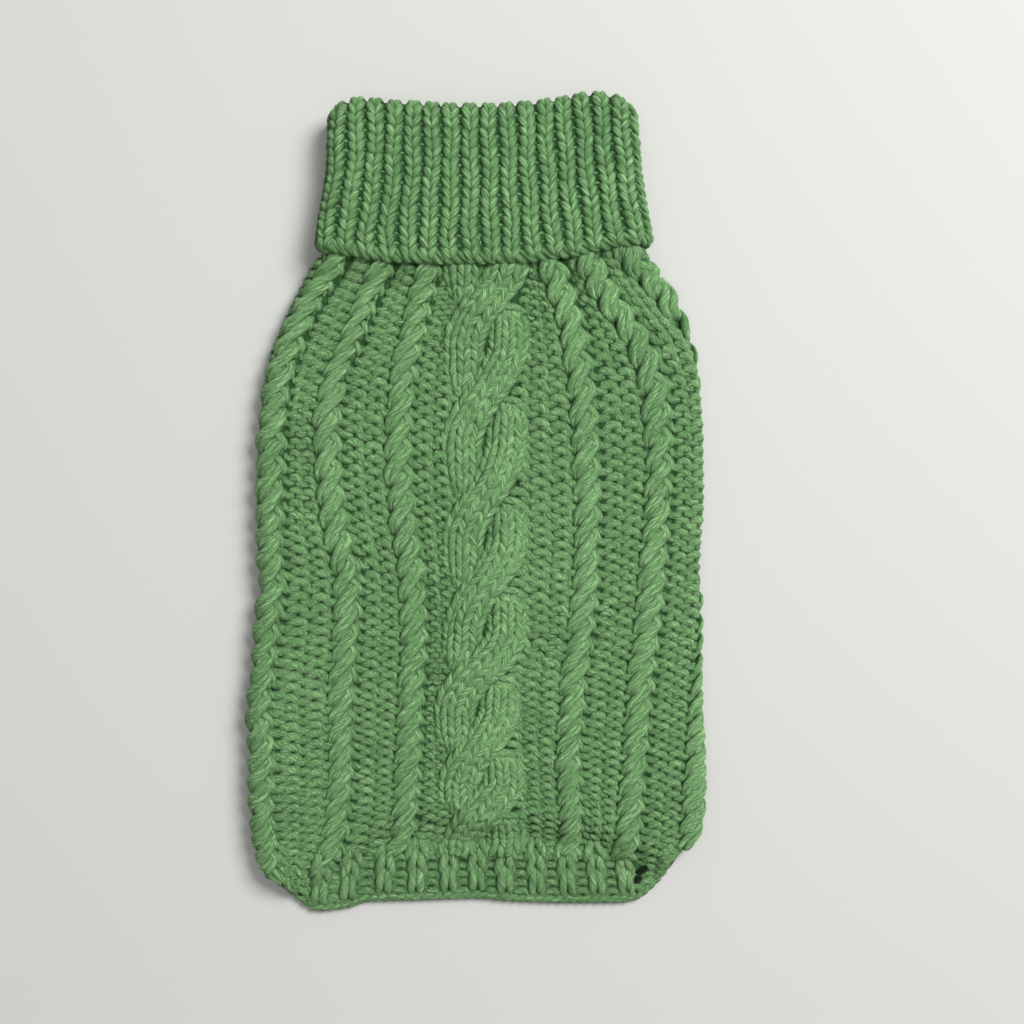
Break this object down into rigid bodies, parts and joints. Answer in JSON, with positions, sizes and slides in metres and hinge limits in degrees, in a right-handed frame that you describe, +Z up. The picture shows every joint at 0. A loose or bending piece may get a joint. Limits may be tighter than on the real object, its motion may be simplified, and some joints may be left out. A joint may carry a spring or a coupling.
{
  "type": "cable knit dog sweater",
  "caption": "Knitted pullover for a small dog, with a cabled back, a plain belly with leg openings, a ribbed hem and a tall turned-down ribbed collar, lying flat.",
  "frame": {"origin": "middle of the plan box, on the surface that the sweater lies on", "axes": "+Y from the tail hem to the collar's top fold, +X to the side that lies right when the back is up, +Z up out of the cabled back"},
  "size_m": [0.1818, 0.3244, 0.0166],
  "materials": {
    "body_yarn": "matt plied yarn, cable and reverse stockinette knit",
    "rib_yarn": "matt plied yarn, one-by-one rib",
    "collar_yarn": "matt plied yarn, one-by-one rib"
  },
  "bodies": {
    "root": {"back_panel": "body_yarn", "back_hem_rib": "rib_yarn", "belly_panel": "body_yarn", "belly_hem_rib": "rib_yarn", "leg_band_left": "rib_yarn", "leg_band_right": "rib_yarn", "collar": "collar_yarn"}
  },
  "joints": []
}
